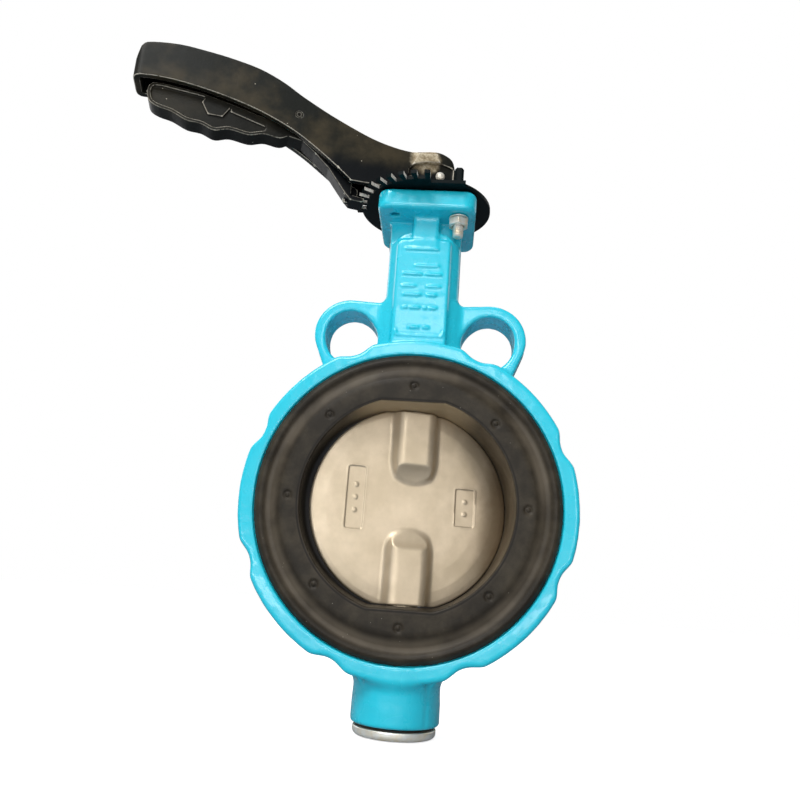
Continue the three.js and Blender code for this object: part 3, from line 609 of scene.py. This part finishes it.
# ---- the disc -----------------------------------------------------------------------
def build_disc():
    """A crowned plate with a hub over each stem and two framed pads of plain round pips."""
    disc_r, plate_half, hub_half, hub_flat, hub_end = 52, 5, 11.6, 10.6, 49.5
    hub_edge, hub_tip, hub_nose, stem_seat = 21.5, 13, 4, 22
    beyond = 60  # past the rim, where the hubs are cut off flat
    pip_pitch, pip_r = 6.5, 1.2
    f = Field((-disc_r, -hub_flat, -hub_end), (disc_r, hub_flat, hub_end), 0.5)
    x, y, z = f.x, f.y, f.z
    across = np.hypot(x, z)
    crown = np.interp(across, (0, 36, 44, 49, 51.5), (plate_half, 4.95, 4.7, 4.2, 3.6))
    plate = np.abs(y) - crown.astype(np.float32)
    edge = across - np.sqrt(np.clip(disc_r**2 - y**2, 51.5**2, None)).astype(np.float32)
    f.add(rounded_and(plate, edge, 0.8))
    for left, right, low, high, pips in ((-34.3, -24.2, -13.8, 19.0, 3), (23.3, 34.6, -8.2, 12.2, 2)):
        u, v = x - (left + right) / 2, z - (low + high) / 2
        pad = rectangle(u, v, (right - left) / 2, (high - low) / 2, 1.8)
        f.cut(rounded_and(pad, plate_half - 0.45 - np.abs(y)), edge=0.3)
        border = np.abs(pad + 0.1) - 0.35
        f.add(rounded_and(border, between(np.abs(y), 2, plate_half + 0.15), 0.2), fillet=0.2)
        for i in range(pips):
            pip = np.hypot(u, v - pip_pitch * (i - (pips - 1) / 2)) - pip_r
            f.add(rounded_and(pip, between(np.abs(y), 2, plate_half - 0.15), 0.25), fillet=0.3)
    stem = np.hypot(x, y)
    slope = (hub_edge - hub_tip) / (hub_flat - hub_nose)  # the nose falls away from a straight edge
    nose = (hub_tip - np.abs(z) + (np.abs(y) - hub_nose) * slope) / math.hypot(1, slope)
    round_end = rectangle(x, np.abs(z) - beyond, hub_half, beyond - hub_tip, hub_half)
    hub = rounded_and(rectangle(x, y, hub_half, hub_flat, 6.2), round_end, 2.4)
    hub = rounded_and(hub, nose, 0.5)
    f.add(rounded_and(hub, np.abs(z) - hub_end, 0.6), fillet=4.0)
    f.value = rounded_and(f.value, np.abs(z) - hub_end, 0.4)
    f.lumps(16, 0.06, seed=8)
    f.cut(rounded_and(stem - STEM_HOLE_R, between(z, 34, beyond)), edge=0.4)
    f.cut(rounded_and(rectangle(x, y, SQUARE_HALF, SQUARE_HALF), between(z, 20, 40)))
    f.cut(rounded_and(stem - STEM_HOLE_R, between(z, -beyond, -stem_seat)), edge=0.4)
    piece("disc_casting", f, "lever_and_disc", "stainless", "disc", turned=True)


# ---- the lever ----------------------------------------------------------------------
# Outlines are (u, z): outwards along the lever from the stem's axis, and up.
LEVER_HALF, LEVER_WALL, BOSS_PROUD = 10.5, 3.5, 1.3
LEVER_END, LEVER_HEEL, LEVER_FOOT, FOOT_END = 172, -13.3, 177.5, 48.3
CLAMP = (-3.4, 190.3)  # the screw through the hub's near wall
CLAMP_HOLE_R, PIN_HOLE_R = 2.2, 2.0
RECESS_DEEP, SQUARE_TOP = 2, 198
PIVOT = (80.3, 212.7)  # the trigger's pin
LEVER_TOP = (
    (169.8, 237.6), (165.5, 240.8), (149.4, 242.9), (133.5, 242), (118.6, 240.2), (103.4, 237),
    (90.5, 231.6), (78.8, 224.8), (64.3, 217.4), (49.8, 211.1), (36.7, 206.2), (25.2, 203.6),
    (15.1, 202.6), (9.4, 203.5), (1, 205.2), (-5, 204.6), (-10.6, 201), (LEVER_HEEL, 194),
)
LEVER_RIM = (
    (49, 178.6), (61.5, 188.4), (79, 200.2), (93.3, 207), (107.2, 211.9), (122.2, 215.6),
    (135.6, 218), (148.7, 219.5), (160.3, 219.7), (LEVER_END, 218.4),
)


def build_lever():
    """A channel open below, its hub over the stem with a worn boss and a recess on the near side."""
    f = Field((-LEVER_END, -LEVER_HALF - BOSS_PROUD, LEVER_FOOT), (-LEVER_HEEL, LEVER_HALF, 243), 0.5)
    u, y, z = -f.x, f.y, f.z
    over = polygon(u, z, spline(LEVER_TOP, 60) + [(LEVER_HEEL, 150), (LEVER_END, 150), (LEVER_END, 230)])
    under = polygon(u, z, [(LEVER_HEEL - 9, 270), (LEVER_HEEL - 9, LEVER_FOOT), (FOOT_END, LEVER_FOOT)]
                    + spline(LEVER_RIM, 30) + [(LEVER_END + 9, 218), (LEVER_END + 9, 270)])
    plan = rectangle(u - (LEVER_HEEL + LEVER_END) / 2, y, (LEVER_END - LEVER_HEEL) / 2, LEVER_HALF, 5)
    shell = rounded_and(over, plan, 1.0)
    f.add(rounded_and(shell, under, 0.35))
    boss = polygon(u, z, [(-1, 203.4), (10.5, 201.8), (14.6, 192.9), (7.2, 196), (-3, 197.7)])
    f.add(rounded_and(boss + 0.2, between(y, -LEVER_HALF - BOSS_PROUD, 0), 0.5), fillet=0.6)
    f.lumps(18, 0.08, seed=5)
    inner_start, inner_end = 15, LEVER_END - LEVER_WALL
    inside = rectangle(u - (inner_start + inner_end) / 2, y,
                       (inner_end - inner_start) / 2, LEVER_HALF - LEVER_WALL, 1.5)
    f.cut(rounded_and(over + LEVER_WALL, inside, 1.5), edge=0.4)
    recess = polygon(u, z, [
        (-8.8, 187.2), (15.5, 187.2), (15.2, 191.7), (11.5, 194.6), (7.2, 196), (2, 197.2),
        (-4, 197.6), (-10.7, 196), (-10.7, 189.1),
    ])
    f.cut(rounded_and(recess, between(y, -20, -LEVER_HALF + RECESS_DEEP)), edge=0.5)
    f.cut(rounded_and(rectangle(u, y, SQUARE_HALF, SQUARE_HALF), z - SQUARE_TOP), edge=0.2)
    f.cut(np.hypot(u - PIVOT[0], z - PIVOT[1]) - PIN_HOLE_R, edge=0.4)
    f.cut(rounded_and(np.hypot(u - CLAMP[0], z - CLAMP[1]) - CLAMP_HOLE_R, y))
    piece("lever_casting", f, "lever_and_disc", "black_steel", "lever_handle", turned=True)


# ---- the trigger --------------------------------------------------------------------
TRIGGER_HALF, PANEL_SUNK, EYE_R = 5.5, 1.1, 7
TOE_HALF = 1.1
SPRING_SLOT_HALF, SPRING_ROOM_R = 2.2, 6.4
TRIGGER_WAVES = (
    (163.8, 213), (161.8, 207.4), (157, 204.6), (149.4, 203), (141, 199.4), (133.2, 198.8),
    (125.5, 196.2), (117.5, 198.4), (106.6, 197.2), (98.5, 199.5), (89.8, 198.7), (85, 200.9),
)


def build_trigger():
    """A waved grip, an eye round the pin, and an arm down to the toe that meets the teeth."""
    f = Field((-164.2, -TRIGGER_HALF, 167.5), (-38, TRIGGER_HALF, 220.5), 0.4)
    u, y, z = -f.x, f.y, f.z
    pin = np.hypot(u - PIVOT[0], z - PIVOT[1])
    eye = [(PIVOT[0] + EYE_R * math.cos(a), PIVOT[1] + EYE_R * math.sin(a))
           for a in np.linspace(math.pi, 0.5, 10)]
    outline = polygon(u, z, spline(TRIGGER_WAVES, 48) + [
        (77, 199.6), (69.8, 194), (60.8, 185.7), (55.8, 179.2), (50.3, 172), (46.9, 168.3),
        (40.4, 167.9), (38.6, 168.8), (38.8, 170.6), (44, 171.3), (46.5, 171.4), (46.5, 180), (51, 184),
        (58.5, 191), (69, 203),
    ] + eye + [
        (92, 212.4), (98, 209.8), (118.5, 214.8), (134.5, 218.2), (156, 219.8), (161, 219.4),
        (163.2, 217),
    ])
    f.add(rounded_and(outline, np.abs(y) - TRIGGER_HALF, 0.7))
    shoulder = polygon(u, z, [(98, 204), (118, 209.5), (118, 230), (98, 230)])
    six_sided = hexagon(u - 126, z - 212.6, 14)
    panel = rounded_and(outline + 2.1, 98 - u, 1.5)
    panel = rounded_and(panel, -shoulder, 0.3)
    panel = rounded_and(panel, -six_sided, 0.3)
    f.cut(rounded_and(panel, TRIGGER_HALF - PANEL_SUNK - np.abs(y)), edge=0.35)
    border = np.maximum(np.abs(six_sided + 1.0) - 0.5, outline + 0.5)
    f.add(rounded_and(border, np.abs(y) - TRIGGER_HALF, 0.2))
    f.lumps(15, 0.06, seed=6)
    toe = polygon(u, z, [
        (42.5, 169.5), (43.2, 168.4), (50, 168.6), (50, 181), (43.5, 178.4), (42.5, 177.4),
    ])
    f.add(rounded_and(toe, np.abs(y) - TOE_HALF, 0.2))
    slot = rectangle(u - PIVOT[0] - 2.8, z - PIVOT[1] - 7.5, 9.2, 7.5)
    f.cut(rounded_and(slot, np.abs(y) - SPRING_SLOT_HALF))
    f.cut(rounded_and(pin - SPRING_ROOM_R, np.abs(y) - SPRING_SLOT_HALF))
    f.cut(pin - PIN_HOLE_R, edge=0.2)
    piece("trigger_casting", f, "latch", "black_cast", "trigger", turned=True)


# ---- fasteners and turned pieces ----------------------------------------------------
def thread(radius, reach, height, pitch=1.0, depth=0.55):
    """A right-hand thread: radius falls and rises once in each pitch, round a helix."""
    turns = (height / pitch - reach / (2 * math.pi)) % 1.0
    return radius - depth * np.abs(turns - 0.5) * 2


def chamfered_hexagon(f, flats, low, high, corner_on_x=True):
    """A hexagon whose corners are turned down to a cone at both ends."""
    side = hexagon(f.x, f.y, flats) if corner_on_x else hexagon(f.y, f.x, flats)
    steep = 1.73  # a cone 30 degrees off flat
    flat_r = flats / 2 - 0.25  # the round flat that the cone leaves at each end
    from_end = np.abs(f.z - (low + high) / 2) - (high - low) / 2
    cone = (np.hypot(f.x, f.y) - flat_r + from_end * steep) / 2
    return rounded_and(rounded_and(side, cone, 0.1), between(f.z, low, high), 0.15)


def build_fasteners():
    """Two threaded bolts hang head up from the flange, each with its nut below."""
    thread_r, tip_chamfer, flats = 3.0, 0.9, 10
    flank = 0.75  # on a thread's slope the distance is less than the reach
    wide = flats / math.sqrt(3)
    head_low = box_mm("stem_washer")[0][2]  # the heads rest on the notch plate, as this washer does
    places = {"front": (BOLT_REACH, -BOLT_REACH), "rear": (-BOLT_REACH, BOLT_REACH)}
    for place, (bx, by) in places.items():
        low, high = box_mm(f"flange_bolt_{place}")
        f = Field((-wide, -wide, low[2]), (wide, wide, high[2]), 0.16)
        stem, angle = np.hypot(f.x, f.y), np.arctan2(f.y, f.x)
        shank = (stem - thread(thread_r, angle, f.z)) * flank
        tip = (stem - thread_r + tip_chamfer + (low[2] - f.z)) / math.sqrt(2)
        f.add(rounded_and(np.maximum(shank, tip), between(f.z, low[2], head_low + 1), 0.1))
        f.add(chamfered_hexagon(f, flats, head_low, high[2]))
        piece(f"bolt_{place}", f, "valve", "plated", f"flange_bolt_{place}", place=(bx, by, 0))
        low, high = box_mm(f"flange_nut_{place}")
        f = Field((-wide, -wide, low[2]), (wide, wide, high[2]), 0.16)
        f.add(chamfered_hexagon(f, flats, low[2], high[2], corner_on_x=False))
        f.cut(np.hypot(f.x, f.y) - thread_r - GAP, edge=0.4)
        piece(f"nut_{place}", f, "valve", "plated", f"flange_nut_{place}", place=(bx, by, 0))


def build_plug():
    """A turned plug with a rounded rim and a shallow dish below."""
    low, high = box_mm("bottom_plug")
    f = Field(low, high, 0.35)
    stem, up = np.hypot(f.x, f.y), f.z - low[2]
    rim_r, rim_tall, dish_in, dish_deep = high[0], 4.2, 5.0, 0.5
    rim = rounded_and(stem - rim_r, -up, 2.2)
    f.add(rounded_and(rim, up - rim_tall, 0.4))
    f.cut(rounded_and(stem - rim_r + dish_in, up - dish_deep), edge=0.4)
    f.add(rounded_and(stem - STEM_BORE_R + GAP, between(f.z, low[2] + 2, high[2]), 0.5))
    piece("plug_turned", f, "valve", "plated", "bottom_plug")


def dress_cad_nodes():
    """CAD nodes that keep their own shape get a softened edge and their material."""
    own_look = {"notch_plate": PLATE_BLACK, "trigger_pin": PIN_BLACK}
    kept = {  # slot, and the soft edge's width in mm
        "notch_plate": ("black_cast", 0.35),
        "stem_washer": ("plated", 0.2),
        "clamp_screw": ("plated", 0.15),
        "trigger_pin": ("black_steel", 0.1),
        "trigger_spring": ("plated", 0),
        "upper_stem": ("stainless", 0.3),
        "lower_stem": ("stainless", 0.3),
        "retaining_ring": ("plated", 0),
        "upper_bush": ("bronze", 0),
        "middle_bush": ("bronze", 0),
        "lower_bush": ("bronze", 0),
        "upper_o_ring": ("rubber", 0),
        "lower_o_ring": ("rubber", 0),
        "plug_seal": ("rubber", 0.2),
        "flange_washer_front": ("plated", 0.1),
        "flange_washer_rear": ("plated", 0.1),
    }
    for name, (slot, bevel) in kept.items():
        node = NODES[name]
        node.data.materials.clear()
        node.data.materials.append(own_look.get(name, MATERIALS[slot]))
        if bevel:
            soften = node.modifiers.new("soft_edge", "BEVEL")
            soften.width = bevel * MM
            soften.segments = 2
            soften.limit_method = "ANGLE"
            soften.angle_limit = math.radians(40)
            soften.harden_normals = True


# ---- studio -------------------------------------------------------------------------
CAMERA_AT = Vector((0.01886, -0.39146, -0.04253))
CAMERA_AIM = Vector((-0.00868, 0, 0.05816))
CAMERA_ROLL = math.radians(4.18)
CAMERA_LENS = 33.45
SKY_FROM = Vector((-0.62, -0.35, 0.70))
WARM = (1.0, 0.97, 0.93)
FLOOR_REACH, FLOOR_DROP = 3.0, 0.0005


def area_light(name, at, aim, size, power, colour=(1, 1, 1)):
    light = bpy.data.lights.new(name, "AREA")
    light.shape = "RECTANGLE"
    light.size, light.size_y = size
    light.energy = power
    light.color = colour
    lamp = bpy.data.objects.new(name, light)
    bpy.context.scene.collection.objects.link(lamp)
    lamp.location = at
    lamp.rotation_euler = (Vector(aim) - Vector(at)).to_track_quat("-Z", "Y").to_euler()


def build_camera():
    camera = bpy.data.objects.new("camera", bpy.data.cameras.new("camera"))
    bpy.context.scene.collection.objects.link(camera)
    camera.location = CAMERA_AT
    facing = (CAMERA_AIM - CAMERA_AT).to_track_quat("-Z", "Y").to_matrix()
    camera.rotation_euler = (facing @ Matrix.Rotation(CAMERA_ROLL, 3, "Z")).to_euler()
    camera.data.lens = CAMERA_LENS
    camera.data.clip_start = 0.01
    bpy.context.scene.camera = camera


def build_sky():
    """A plain white backdrop, and a soft sky that is brightest above on the left."""
    world = bpy.data.worlds.new("studio")
    world.use_nodes = True
    nodes, links = world.node_tree.nodes, world.node_tree.links
    sky = nodes["Background"]
    sky.inputs["Color"].default_value = (1, 1, 1, 1)
    towards = nodes.new("ShaderNodeVectorMath")
    towards.operation = "DOT_PRODUCT"
    towards.inputs[1].default_value = SKY_FROM
    fall = nodes.new("ShaderNodeMapRange")
    fall.interpolation_type = "SMOOTHSTEP"
    fall.inputs["From Min"].default_value = -0.6
    fall.inputs["From Max"].default_value = 0.9
    fall.inputs["To Min"].default_value = 0.06
    fall.inputs["To Max"].default_value = 0.34
    links.new(nodes.new("ShaderNodeTexCoord").outputs["Generated"], towards.inputs[0])
    links.new(towards.outputs["Value"], fall.inputs["Value"])
    links.new(fall.outputs[0], sky.inputs["Strength"])
    backdrop = nodes.new("ShaderNodeBackground")
    backdrop.inputs["Color"].default_value = (1, 1, 1, 1)
    either = nodes.new("ShaderNodeMixShader")
    links.new(nodes.new("ShaderNodeLightPath").outputs["Is Camera Ray"], either.inputs[0])
    links.new(sky.outputs[0], either.inputs[1])
    links.new(backdrop.outputs[0], either.inputs[2])
    links.new(either.outputs[0], nodes["World Output"].inputs["Surface"])
    bpy.context.scene.world = world


def build_lights():
    """Each lamp: where it hangs, what it points at, its two sides, its power in watts."""
    area_light("key", (-0.40, -0.76, 0.96), (0, 0, 0.07), (0.75, 0.42), 11.5)
    area_light("fill", (-0.02, -1.00, 0.38), (0, 0, 0.16), (0.25, 0.25), 1.5)
    area_light("front", (0.44, -0.88, 0.10), (0, 0, 0.0), (0.14, 0.25), 0.8, WARM)
    area_light("low", (-0.15, -0.80, -0.06), (0, 0, 0.16), (0.9, 0.05), 1.8)
    area_light("top", (0.0, 0.1, 1.0), (0, 0, 0.05), (0.5, 0.5), 2)
    area_light("back_left", (-0.95, 0.90, 0.45), (0, 0, 0.05), (0.8, 0.8), 3.6)
    area_light("back_right", (0.95, 0.75, 0.45), (0, 0, 0.05), (0.7, 0.7), 2.0)


def build_floor():
    """A pale floor just under the plug. Its bounce on the object is kept cool and weak."""
    mesh = bpy.data.meshes.new("floor")
    far, z = FLOOR_REACH, CAD_BOX[0][2] - FLOOR_DROP
    mesh.from_pydata([(-far, -far, z), (far, -far, z), (far, far, z), (-far, far, z)], [], [(0, 1, 2, 3)])
    floor = bpy.data.objects.new("floor", mesh)
    bpy.context.scene.collection.objects.link(floor)
    look = Look("floor_pale")
    seen = look.add("ShaderNodeLightPath").outputs["Is Camera Ray"]
    glow = look.math("MULTIPLY", seen, 0.8)
    pale = look.mix(look.noise(400, 2), (0.69, 0.69, 0.69), (0.72, 0.72, 0.72))
    tone = look.mix(seen, (0.30, 0.33, 0.38), pale)
    mesh.materials.append(look.set(
        Base_Color=tone, Roughness=0.9, Emission_Color=(1, 1, 1), Emission_Strength=glow))


def build_studio():
    bpy.context.scene.view_settings.view_transform = "Standard"
    build_camera()
    build_sky()
    build_lights()
    build_floor()


build_body()
build_liner()
build_disc()
build_lever()
build_trigger()
build_fasteners()
build_plug()
dress_cad_nodes()
build_studio()
